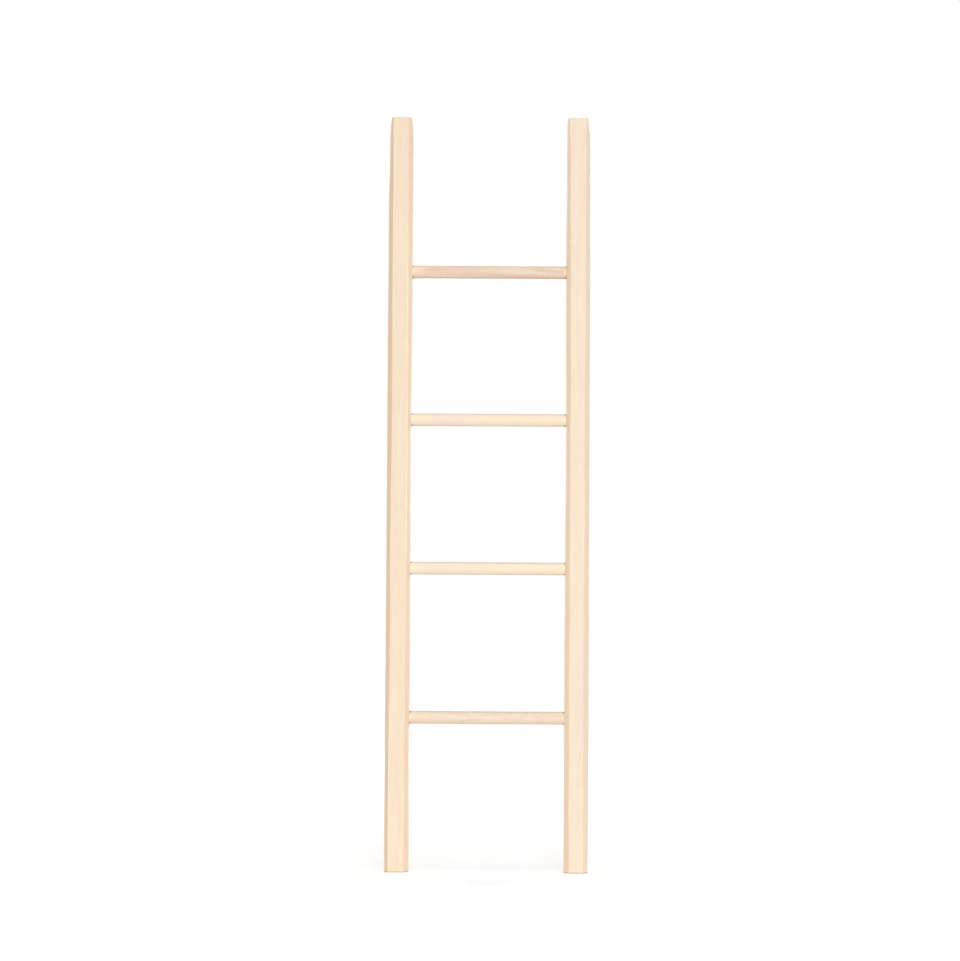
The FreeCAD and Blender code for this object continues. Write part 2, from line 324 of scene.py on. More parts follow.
        # Good and poor years: the rings are not all as wide as one another.
        years = add_node(
            tree, "TexNoise", {"W": radius, "Scale": 0.06, "Detail": 1.0}, noise_dimensions="1D"
        ).outputs["Fac"]
        count = add_node(
            tree, "Math", {0: radius, 1: 1 / self.ring_width, 2: years}, operation="MULTIPLY_ADD"
        ).outputs[0]
        part = add_node(tree, "Math", {0: count}, operation="FRACT").outputs[0]
        early_end, late_end = 0.15, 0.88
        darkening = add_node(
            tree, "MapRange", {"Value": part, "From Min": early_end, "From Max": late_end},
            interpolation_type="SMOOTHSTEP",
        ).outputs["Result"]
        ending = add_node(
            tree,
            "MapRange",
            {"Value": part, "From Min": late_end, "From Max": 1.0, "To Min": 1.0, "To Max": 0.0},
            interpolation_type="SMOOTHSTEP",
        ).outputs["Result"]
        ring = add_node(tree, "Math", {0: darkening, 1: ending}, operation="MULTIPLY").outputs[0]
        # The late band of the faintest year has under half the contrast of the strongest.
        faintest = 0.45 * self.ring_contrast
        year = add_node(tree, "Math", {0: count}, operation="FLOOR").outputs[0]
        chance = add_node(
            tree, "TexWhiteNoise", {"W": year}, noise_dimensions="1D"
        ).outputs["Value"]
        weight = add_node(
            tree, "MapRange", {"Value": chance, "To Min": faintest, "To Max": self.ring_contrast}
        ).outputs["Result"]
        share = add_node(tree, "Math", {0: ring, 1: weight}, operation="MULTIPLY").outputs[0]
        return ring, share

    def add_tint(
        self, tree: NodeTree, colour: NodeSocket, tint: str, guide: NodeSocket,
        low: float, high: float, share: float,
    ) -> NodeSocket:
        """Blend one more colour in where a guide value rises from low to high.

        Args:
            tree: the node tree.
            colour: the colour so far.
            tint: the hex colour to blend in.
            guide: the value that says where.
            low: where the tint starts.
            high: where it is at its full share.
            share: how much of the tint there is then.

        Returns:
            The blended colour.
        """
        amount = add_node(
            tree, "MapRange", {"Value": guide, "From Min": low, "From Max": high, "To Max": share},
            interpolation_type="SMOOTHSTEP",
        ).outputs["Result"]
        return add_node(
            tree, "Mix", {"Factor": amount, 6: colour, 7: linear(tint)}, data_type="RGBA"
        ).outputs[2]

    def add_figure(
        self, tree: NodeTree, place: NodeSocket, ring_share: NodeSocket,
        fibre: NodeSocket, streak: NodeSocket,
    ) -> NodeSocket:
        """Add the colour of the wood itself: rings, rosy patches, yellow streaks and flecks.

        Args:
            tree: the node tree.
            place: the pattern's coordinates.
            ring_share: how much late wood there is.
            fibre: the finest streaks.
            streak: the long broad streaks.

        Returns:
            The colour.
        """
        patch = self.add_cloud(tree, place, across=26.0, along=120.0, detail=1.0)
        fleck = self.fleck
        dash = self.add_cloud(tree, place, fleck.across, fleck.along, detail=1.0)
        colour = add_node(
            tree, "Mix", {"Factor": ring_share, 6: linear(self.early), 7: linear(self.late)},
            data_type="RGBA",
        ).outputs[2]
        colour = self.add_tint(tree, colour, self.blush, patch, low=0.42, high=0.62, share=0.7)
        colour = self.add_tint(tree, colour, self.honey, streak, low=0.46, high=0.64, share=0.7)
        colour = self.add_tint(tree, colour, fleck.colour, dash, fleck.low, fleck.high, fleck.share)
        dark, light = 1.0 - self.fibre_depth, 1.0 + 0.5 * self.fibre_depth
        shade = add_node(
            tree,
            "MapRange",
            {"Value": fibre, "From Min": 0.3, "From Max": 0.7, "To Min": dark, "To Max": light},
        ).outputs["Result"]
        return add_node(
            tree, "VectorMath", {0: colour, "Scale": shade}, operation="SCALE"
        ).outputs["Vector"]

    def add_work_marks(
        self, tree: NodeTree, source: Node, colour: NodeSocket, ring: NodeSocket, streak: NodeSocket
    ) -> NodeSocket:
        """Add painted warm shade on bevels, darker end grain, paler arrises of wear and painted
        highlight.

        Args:
            tree: the node tree.
            source: the Texture Coordinate node.
            colour: the wood's colour.
            ring: how late in its year the wood grew.
            streak: the long broad streaks, which break the wear up.

        Returns:
            The colour with these marks.
        """
        normal = add_node(tree, "SeparateXYZ", {"Vector": source.outputs["Normal"]})
        # Painted shade: the bevels on one diagonal of the square, front left and back right, get a
        # warm, deeper tone, and those on the other diagonal a little of it.
        diagonal = add_node(
            tree, "Math", {0: normal.outputs["X"], 1: normal.outputs["Y"]}, operation="MULTIPLY"
        ).outputs[0]
        for way, share in ((1, 0.35), (-1, 0.15)):
            low, high = way * 0.25, way * 0.45
            colour = self.add_tint(tree, colour, self.bevel_shade_tone, diagonal, low, high, share)
        # Cut across, the fibres drink in the finish, so an end is darker than a face.
        across = normal.outputs[self.grain.value]
        end = add_node(tree, "Math", {0: across}, operation="ABSOLUTE").outputs[0]
        colour = self.add_tint(tree, colour, self.end_shade, end, low=0.45, high=0.98, share=0.55)
        late = add_node(tree, "Math", {0: end, 1: ring}, operation="MULTIPLY").outputs[0]
        colour = self.add_tint(tree, colour, self.end_ring, late, low=0.35, high=0.95, share=0.5)
        # Stretches of the arrises are paler than the flats: partly wear from handling and sanding,
        # partly a painted highlight where the rounded arris catches the light.
        arris = add_node(tree, "Attribute", attribute_name="arris").outputs["Fac"]
        rubbed_and_lit = add_node(tree, "Math", {0: arris, 1: streak}, operation="MULTIPLY").outputs[0]
        return self.add_tint(tree, colour, self.wear_and_highlight, rubbed_and_lit, low=0.42, high=0.6, share=0.8)

    def add_rung_shade_and_marks(self, tree: NodeTree, source: Node, colour: NodeSocket) -> NodeSocket:
        """Mark a rung along its top and underside and beside its rails.

        Its top and underside are greyed as painted shade, where the round turns from the front
        light. The corner over and under the rung, beside each rail, is darkened as a painted
        shadow, and the rung's front and back are paler there.

        Args:
            tree: the node tree.
            source: the Texture Coordinate node.
            colour: the rung's colour.

        Returns:
            The colour with these marks.
        """
        along = add_node(tree, "SeparateXYZ", {"Vector": source.outputs["Object"]}).outputs["X"]
        away = add_node(tree, "Math", {0: along}, operation="ABSOLUTE").outputs[0]
        start, full = ((self.joint_at - gap) * MM for gap in (self.mark_start, self.mark_full))
        beside = add_node(
            tree, "MapRange", {"Value": away, "From Min": start, "From Max": full},
            interpolation_type="SMOOTHSTEP",
        ).outputs["Result"]
        facing = add_node(tree, "SeparateXYZ", {"Vector": source.outputs["Normal"]}).outputs["Z"]
        level = add_node(tree, "Math", {0: facing}, operation="ABSOLUTE").outputs[0]
        corner = add_node(tree, "Math", {0: beside, 1: level}, operation="MULTIPLY").outputs[0]
        side = add_node(tree, "Math", {0: beside, 1: level}, operation="SUBTRACT").outputs[0]
        # The rung's front and back faces are painted paler beside the rails.
        colour = self.add_tint(tree, colour, self.wear_and_highlight, side, low=0.3, high=0.9, share=0.5)
        # Painted shade: the rung's top and underside, turned from the front light, are greyed.
        colour = self.add_tint(tree, colour, self.painted_shade, level, low=0.78, high=0.96, share=0.2)
        # Painted shadow: the corner over and under the rung, beside each rail, is darkened.
        return self.add_tint(tree, colour, self.painted_shade, corner, low=0.7, high=0.95, share=0.7)


@dataclass(frozen=True)
class RubberSheet:
    """Pale crepe rubber sheet: dull, with a fine moulded grain and a little grey dirt."""

    name: str = "matt crepe rubber"
    colour: str = "#CDBDA3"
    dirt: str = "#A3937D"

    def make(self) -> Material:
        """Build the material.

        Returns:
            A dull pale material with a 0.6 mm grain.
        """
        # To the eye: a flat tan line under the rail, with no shine and a little grey dirt.
        material, tree = new_material(self.name)
        place = add_node(tree, "TexCoord").outputs["Object"]
        grain = add_node(
            tree, "TexNoise", {"Vector": place, "Scale": 1 / (0.6 * MM), "Detail": 3.0}
        ).outputs["Fac"]
        cloud = add_node(
            tree, "TexNoise", {"Vector": place, "Scale": 1 / (14 * MM), "Detail": 4.0}
        ).outputs["Fac"]
        dusting = add_node(
            tree, "MapRange", {"Value": cloud, "From Min": 0.5, "From Max": 0.8, "To Max": 0.5}
        ).outputs["Result"]
        colour = add_node(
            tree, "Mix", {"Factor": dusting, 6: linear(self.colour), 7: linear(self.dirt)},
            data_type="RGBA",
        ).outputs[2]
        roughness = add_node(
            tree, "MapRange", {"Value": grain, "To Min": 0.7, "To Max": 0.95}
        ).outputs["Result"]
        relief = add_node(
            tree, "Bump", {"Strength": 0.5, "Distance": 0.1 * MM, "Height": grain}
        ).outputs["Normal"]
        surface = add_node(
            tree, "BsdfPrincipled", {"Base Color": colour, "Roughness": roughness, "Normal": relief}
        )
        add_node(tree, "OutputMaterial", {"Surface": surface.outputs["BSDF"]})
        return material


@dataclass(frozen=True)
class ZincPlate:
    """Bright zinc plating on a steel screw: a cool silvery metal with faint cloudy passivation."""

    name: str = "bright zinc plate"
    colour: str = "#C9CBC6"
    cloudy: str = "#B9B7A4"

    def make(self) -> Material:
        """Build the material.

        Returns:
            A metal whose colour and roughness vary over a few millimetres.
        """
        # To the eye: cool bright metal whose highlights are broken by a faint cloudy bloom.
        material, tree = new_material(self.name)
        place = add_node(tree, "TexCoord").outputs["Object"]
        cloud = add_node(
            tree, "TexNoise", {"Vector": place, "Scale": 1 / (3 * MM), "Detail": 3.0}
        ).outputs["Fac"]
        colour = add_node(
            tree, "Mix", {"Factor": cloud, 6: linear(self.colour), 7: linear(self.cloudy)},
            data_type="RGBA",
        ).outputs[2]
        roughness = add_node(
            tree, "MapRange", {"Value": cloud, "To Min": 0.22, "To Max": 0.42}
        ).outputs["Result"]
        relief = add_node(
            tree, "Bump", {"Strength": 0.2, "Distance": 0.03 * MM, "Height": cloud}
        ).outputs["Normal"]
        surface = add_node(
            tree,
            "BsdfPrincipled",
            {"Base Color": colour, "Metallic": 1.0, "Roughness": roughness, "Normal": relief},
        )
        add_node(tree, "OutputMaterial", {"Surface": surface.outputs["BSDF"]})
        return material


# --- Making pieces ---


def spin_profile(bm: BMesh, stations: Stations, height: float, steps: int) -> None:
    """Turn a profile full circle about a line along X.

    Args:
        bm: the mesh to add to.
        stations: places along X and radii, in metres. The first and last radii are 0.
        height: height of the axis.
        steps: flats round the turned shape.
    """
    verts = [bm.verts.new((x, 0.0, height + radius)) for x, radius in stations]
    edges = [bm.edges.new(pair) for pair in zip(verts, verts[1:])]
    bmesh.ops.spin(
        bm, geom=[*verts, *edges], cent=(0.0, 0.0, height), axis=(1.0, 0.0, 0.0),
        angle=math.tau, steps=steps, use_merge=True,
    )
    bmesh.ops.remove_doubles(bm, verts=bm.verts[:], dist=0.002 * MM)


def add_block(bm: BMesh, low: Vector, high: Vector) -> None:
    """Add a box that fills the space between two corners."""
    place = Matrix.Translation((low + high) / 2) @ Matrix.Diagonal((*(high - low), 1.0))
    bmesh.ops.create_cube(bm, size=1.0, matrix=place)


def to_mesh(bm: BMesh, name: str, sharp_degrees: float = 30.0) -> Mesh:
    """Close a bmesh into a smooth-shaded mesh whose hard corners stay crisp.

    Args:
        bm: the finished shape. It is freed.
        name: the mesh's name.
        sharp_degrees: edges that turn by more than this stay sharp.

    Returns:
        The mesh.
    """
    bmesh.ops.recalc_face_normals(bm, faces=bm.faces[:])
    limit = math.radians(sharp_degrees)
    for face in bm.faces:
        face.smooth = True
    for edge in bm.edges:
        edge.smooth = edge.calc_face_angle(0.0) < limit
    mesh = bpy.data.meshes.new(name)
    bm.to_mesh(mesh)
    bm.free()
    return mesh


def bevel_edges(bm: BMesh, edges: Sequence[BMEdge], offset: float, segments: int) -> None:
    """Cut edges back evenly.

    Args:
        bm: the mesh.
        edges: the edges to cut.
        offset: how far the cut reaches on each side.
        segments: 1 for a flat cut, more for a round one.
    """
    bmesh.ops.bevel(
        bm, geom=edges, offset=offset, offset_type="OFFSET", segments=segments,
        profile=0.5, affect="EDGES", material=-1,
    )


def rising_edges(bm: BMesh, least: float) -> list[BMEdge]:
    """The edges whose ends differ in height by more than the least rise."""
    return [e for e in bm.edges if abs(e.verts[0].co.z - e.verts[1].co.z) > least]


def add_object(name: str, data: ID) -> Object:
    """Make an object and link it to the scene.

    Args:
        name: the object's name.
        data: its mesh, lamp or camera.

    Returns:
        The object.
    """
    made = bpy.data.objects.new(name, data)
    bpy.context.scene.collection.objects.link(made)
    return made


def place_piece(mesh: Mesh, name: str, node: str, material: Material) -> None:
    """Put a finished mesh in the scene in place of its CAD node.

    Args:
        mesh: the piece's mesh, already where it belongs.
        name: the piece's name.
        node: the CAD node that it stands for.
        material: its finish.
    """
    piece = add_object(name, mesh)
    mesh.materials.append(material)
    even = piece.modifiers.new("even flats", "WEIGHTED_NORMAL")
    even.keep_sharp = True
    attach(piece, BODY)
    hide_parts(node)
    LOG.info("%s: %d faces, stands for %s", name, len(mesh.polygons), node)


@dataclass
class RungJoint:
    """The stepped bore of one joint: socket for the rung, hole for its screw, seat for the plug."""

    height: float
    plug_radius: float = 5.05 * MM
    plug_rim: float = 0.2 * MM
    plug_depth: float = 14.0 * MM
    screw_radius: float = 2.7 * MM
    socket_radius: float = 12.65 * MM
    socket_depth: float = 16.0 * MM
    socket_rim: float = 1.2 * MM
    overrun: float = 1.0 * MM

    def add_cutter(self, bm: BMesh, outer: float, inner: float, planed: float) -> None:
        """Add the solid that the joint takes out of a rail.

        Args:
            bm: the mesh to add to.
            outer: X of the rail's outer flat.
            inner: X of the rail's inner flat before planing.
            planed: how far that flat is planed back at the joint.
        """
        inward = math.copysign(1.0, inner - outer)
        wide = self.plug_radius + self.plug_rim
        # The chamfer of the socket runs on past the planed flat, which cuts it off squarely.
        flat = inner - inward * planed
        past = self.socket_radius + self.socket_rim + self.overrun
        before, beyond = outer - inward * self.overrun, flat + inward * self.overrun
        seat, floor = outer + inward * self.plug_depth, inner - inward * self.socket_depth
        stations = [
            (before, 0.0), (before, wide),
            (outer, wide), (outer + inward * self.plug_rim, self.plug_radius),
            (seat, self.plug_radius), (seat, self.screw_radius),
            (floor, self.screw_radius), (floor, self.socket_radius),
            (flat - inward * self.socket_rim, self.socket_radius),
            (beyond, past), (beyond, 0.0),
        ]
        spin_profile(bm, stations, self.height, steps=72)


def between(stations: Stations, height: float) -> float:
    """Read a smooth curve through a few stations.

    Args:
        stations: (height, size) pairs, lowest first.
        height: where to read it.

    Returns:
        The size there. Outside the stations it is that of the nearest one.
    """
    if height <= stations[0][0]:
        return stations[0][1]
    for (low, start), (high, end) in zip(stations, stations[1:]):
        if height <= high:
            share = (height - low) / (high - low)
            share = share * share * (3 - 2 * share)
            return start + (end - start) * share
    return stations[-1][1]


@dataclass(frozen=True)
class PlaneWork:
    """How one side of a rail was planed by hand.

    Both runs are (height in m, size in mm) stations, lowest first: the width of the bevels
    beside that side, and how far the side itself is planed in.
    """

    bevel: Stations
    inset: Stations


@dataclass
class SideRail:
    """One bevelled square post with its tapered tip, eased foot and four rung joints."""

    side: Side
    wood: PaleSoftwood
    joints: Sequence[RungJoint]
    outer: PlaneWork
    inner: PlaneWork
    bevel: float = 9.0 * MM
    arris: float = 2.0 * MM
    crown: float = 0.35 * MM
    tip_length: float = 40.0 * MM
    tip_inset: float = 2.8 * MM
    tip_round: float = 1.8 * MM
    foot_easing: float = 0.5 * MM
    side_share: float = 0.4
    support: float = 2.0 * MM
    loop_spacing: float = 24.0 * MM
    tip_loops: int = 4
    low: Vector = field(init=False)
    high: Vector = field(init=False)

    def __post_init__(self) -> None:
        """Read the post's place from its CAD node."""
        self.low, self.high = (Vector(corner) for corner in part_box(self.node))

    @property
    def node(self) -> str:
        """The CAD node that the rail stands for."""
        return f"side_rail_{self.side.word}"

    @property
    def centre_x(self) -> float:
        """X of the post's centre line."""
        return (self.low.x + self.high.x) / 2

    @property
    def half_width(self) -> float:
        """Half the post's width."""
        return (self.high.x - self.low.x) / 2

    def add_post(self, bm: BMesh) -> None:
        """Add the straight bevelled post, its corners rounded along their length.

        Args:
            bm: the mesh to add to.
        """
        add_block(bm, self.low, self.high)
        least = 0.9 * (self.high.z - self.low.z)
        # A flat and its bevel meet at 45 degrees, and half of that gives the round's reach.
        rounding = self.arris * math.tan(math.radians(22.5))
        for offset, segments in ((self.bevel, 1), (rounding, 5)):
            bevel_edges(bm, rising_edges(bm, least), offset, segments)

    def add_loops(self, bm: BMesh) -> None:
        """Cut the post across at regular heights and along beside each arris.

        The two end faces stay whole.

        Args:
            bm: the mesh to cut.
        """
        tip_start = self.high.z - self.tip_length
        count = round((tip_start - self.low.z) / self.loop_spacing)
        heights = [self.low.z + (tip_start - self.low.z) * k / count for k in range(1, count + 1)]
        steps = range(1, self.tip_loops)
        heights += [tip_start + self.tip_length * k / self.tip_loops for k in steps]
        heights.append(self.low.z + self.foot_easing)
        for turn in (0.0, 22.5, 45.0, 67.5):
            heights.append(self.high.z - self.tip_round * (1 - math.sin(math.radians(turn))))
        planes = [(Vector((0.0, 0.0, height)), Vector((0.0, 0.0, 1.0))) for height in heights]
        # Two loops along each flat, a little way in from its arrises, and five along each bevel.
        flat = self.half_width - self.bevel - self.support
        slant = self.bevel / math.sqrt(2)
        for sign in (-1, 1):
            planes.append((Vector((self.centre_x + sign * flat, 0, 0)), Vector((1, 0, 0))))
            planes.append((Vector((0, sign * flat, 0)), Vector((0, 1, 0))))
        middle = Vector((self.centre_x, 0, 0))
        for way in (-1, 1):
            along = Vector((1, way, 0)).normalized()
            for share in (-0.7, -0.35, 0, 0.35, 0.7):
                planes.append((middle + along * slant * share, along))
        for point, normal in planes:
            bmesh.ops.bisect_plane(
                bm, geom=[*bm.verts, *bm.edges, *bm.faces], plane_co=point, plane_no=normal
            )
        for facing in (-1.0, 1.0):
            end = [face for face in bm.faces if face.normal.z * facing > 0.99]
            bmesh.ops.dissolve_faces(bm, faces=end)

    def mark_arrises(self, bm: BMesh) -> None:
        """Give each point on a rounded arris a value of 1 in the arris layer, and the rest 0.

        Args:
            bm: the straight post.
        """
        layer = bm.verts.layers.float.new("arris")
        corner = self.half_width - self.bevel
        reach = 0.55 * self.arris
        for vert in bm.verts:
            x, y = abs(vert.co.x - self.centre_x), abs(vert.co.y)
            front = math.hypot(x - corner, y - self.half_width)
            side = math.hypot(x - self.half_width, y - corner)
            vert[layer] = 1.0 if min(front, side) < reach else 0.0

    def shape_hand_work(self, bm: BMesh) -> None:
        """Plane the sides, crown the bevels and vary their width, draw in the tip, ease both ends.

        Args:
            bm: the post with its loops.
        """
        tip_start = self.high.z - self.tip_length
        corner = self.half_width - self.bevel
        for vert in bm.verts:
            offset, height = vert.co.x - self.centre_x, vert.co.z
            x, y = abs(offset), abs(vert.co.y)
            work = self.outer if offset * self.side.value > 0 else self.inner
            change = between(work.bevel, height) * MM - self.bevel
            side_inset = between(work.inset, height) * MM
            face_inset = self.tip_inset * max(0.0, (height - tip_start) / self.tip_length)
            # 0 on the front and back flats, 1 on the side flats, and between on the bevels.
            turned = min(1.0, max(0.0, 0.5 + 0.5 * (x - y) / self.bevel))
            swell = self.crown / math.sqrt(2) * 4 * turned * (1 - turned)
            x += swell - side_inset * turned
            # A bevel grows by the whole change across the face and by a share of it on the side.
            x -= change * (1 - turned) * min(1.0, x / corner)
            y += swell - face_inset * (1 - turned)
            y -= self.side_share * change * turned * min(1.0, y / corner)
            shrink = 1 - self.end_easing(height) / self.half_width
            vert.co.x = self.centre_x + math.copysign(x * shrink, offset)
            vert.co.y = math.copysign(y * shrink, vert.co.y)

    def end_easing(self, height: float) -> float:
        """How far the round of the top end or the chamfer of the foot draws in at a height.

        Args:
            height: the height, in metres.

        Returns:
            How far every side draws in there, in metres.
        """
        up = max(0.0, height - (self.high.z - self.tip_round))
        rounded = self.tip_round - math.sqrt(max(0.0, self.tip_round**2 - up**2))
        return rounded + max(0.0, self.low.z + self.foot_easing - height)

    def bore_joints(self, mesh: Mesh) -> Mesh:
        """Cut the four stepped bores out of the post.

        Args:
            mesh: the solid post.

        Returns:
            The bored post.
        """
        outer, inner = self.low.x, self.high.x
        if self.side is Side.RIGHT:
            outer, inner = inner, outer
        bm = bmesh.new()
        for joint in self.joints:
            joint.add_cutter(bm, outer, inner, between(self.inner.inset, joint.height) * MM)
        post = add_object("solid_post", mesh)
        cutter = add_object("bores", to_mesh(bm, f"{self.node}_bores"))
        cut = post.modifiers.new("rung joints", "BOOLEAN")
        cut.operation = "DIFFERENCE"
        cut.solver = "EXACT"
        cut.object = cutter
        graph = bpy.context.evaluated_depsgraph_get()
        bored = bpy.data.meshes.new_from_object(
            post.evaluated_get(graph), preserve_all_data_layers=True, depsgraph=graph
        )
        for spare in (post, cutter):
            bpy.data.objects.remove(spare)
        return bored

    def clear_bores(self, bm: BMesh) -> None:
        """Set the arris layer to 0 on the points that the bores made.

        Args:
            bm: the bored post.
        """
        layer = bm.verts.layers.float["arris"]
        for vert in bm.verts:
            for joint in self.joints:
                reach = joint.socket_radius + joint.socket_rim + joint.plug_rim
                if math.hypot(vert.co.y, vert.co.z - joint.height) < reach:
                    vert[layer] = 0.0

    def build(self) -> None:
        """Make the rail and dress it."""
        bm = bmesh.new()
        self.add_post(bm)
        self.add_loops(bm)
        self.mark_arrises(bm)
        self.shape_hand_work(bm)
        bored = self.bore_joints(to_mesh(bm, "solid_post"))
        bm = bmesh.new()
        bm.from_mesh(bored)
        self.clear_bores(bm)
        mesh = to_mesh(bm, f"rail_{self.side.word}")
        name = f"bevelled_rail_{self.side.word}"
        wood = self.wood.make((self.low + self.high) / 2)
        place_piece(mesh, name, self.node, wood)


@dataclass
class Rung:
    """One sanded dowel, with the pilot holes of its two screws."""

    number: int
    wood: PaleSoftwood
    end_chamfer: float = 1.0 * MM
    pilot_radius: float = 2.55 * MM
    pilot_depth: float = 33.5 * MM
    drill_point: float = 1.5 * MM
    station_spacing: float = 7.0 * MM
    ripple: float = 0.05 * MM
    ripples_along: float = 12.0
    ripples_round: float = 60.0
    flats: int = 96

    def build(self) -> None:
        """Make the rung and dress it."""
        node = f"rung_{self.number}"
        low, high = (Vector(corner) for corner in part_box(node))
        height, radius = (low.z + high.z) / 2, (high.z - low.z) / 2
        end = (high.x - low.x) / 2
        plain = end - self.end_chamfer
        half = [
            (end - self.pilot_depth - self.drill_point, 0.0),
            (end - self.pilot_depth, self.pilot_radius),
            (end, self.pilot_radius),
            (end, radius - self.end_chamfer),
        ]
        count = round(2 * plain / self.station_spacing)
        body = [(plain - 2 * plain * k / count, radius) for k in range(count + 1)]
        bm = bmesh.new()
        mirrored = [(-x, r) for x, r in reversed(half)]
        spin_profile(bm, [*half, *body, *mirrored], height, self.flats)
        axis = Vector((0.0, 0.0, height))
        for vert in bm.verts:
            out = vert.co - axis
            out.x = 0.0
            if out.length > 0.9 * radius:
                # Sanding on a belt leaves the dowel a hair out of round.
                where = self.ripples_round * out
                where += Vector((self.ripples_along * vert.co.x, 0.0, self.number))
                vert.co -= out.normalized() * self.ripple * (0.5 + 0.5 * noise.noise(where))
        mesh = to_mesh(bm, f"dowel_{self.number}")
        wood = self.wood.make((low + high) / 2)
        place_piece(mesh, f"dowel_rung_{self.number}", node, wood)


@dataclass
class ScrewPlug:
    """One side-grain plug, glued in over a screw head and sanded flush with the rail."""

    number: int
    side: Side
    material: Material
    face_easing: float = 0.2 * MM
    end_chamfer: float = 0.8 * MM
    flats: int = 64

    def build(self) -> None:
        """Make the plug and dress it."""
        place = f"{self.number}_{self.side.word}"
        low, high = (Vector(corner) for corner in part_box(f"screw_plug_{place}"))
        height, radius = (low.z + high.z) / 2, (high.z - low.z) / 2
        face, back = (low.x, high.x) if self.side is Side.LEFT else (high.x, low.x)
        inward = math.copysign(1.0, back - face)
        stations = [
            (face, 0.0),
            (face, 0.5 * radius),
            (face, radius - self.face_easing),
            (face + inward * self.face_easing, radius),
            (back - inward * self.end_chamfer, radius),
            (back, radius - self.end_chamfer),
            (back, 0.0),
        ]
        bm = bmesh.new()
        spin_profile(bm, stations, height, self.flats)
        mesh = to_mesh(bm, f"plug_{place}")
        place_piece(mesh, f"flush_plug_{place}", f"screw_plug_{place}", self.material)


@dataclass
class FootPad:
    """One die-cut rubber pad under a rail."""

    side: Side
    material: Material
    corner_cut: float = 8.7 * MM
    corner_round: float = 0.8 * MM
    edge: float = 0.3 * MM

    def build(self) -> None:
        """Make the pad and dress it."""
        node = f"foot_pad_{self.side.word}"
        low, high = (Vector(corner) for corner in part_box(node))
        least = 0.5 * (high.z - low.z)
        bm = bmesh.new()
        add_block(bm, low, high)
        for offset, segments in ((self.corner_cut, 1), (self.corner_round, 3)):
            bevel_edges(bm, rising_edges(bm, least), offset, segments)
        upright = set(rising_edges(bm, least))
        rims = [edge for edge in bm.edges if edge not in upright]
        bevel_edges(bm, rims, self.edge, segments=2)
        mesh = to_mesh(bm, f"pad_{self.side.word}", sharp_degrees=40.0)
        place_piece(mesh, f"rubber_pad_{self.side.word}", node, self.material)


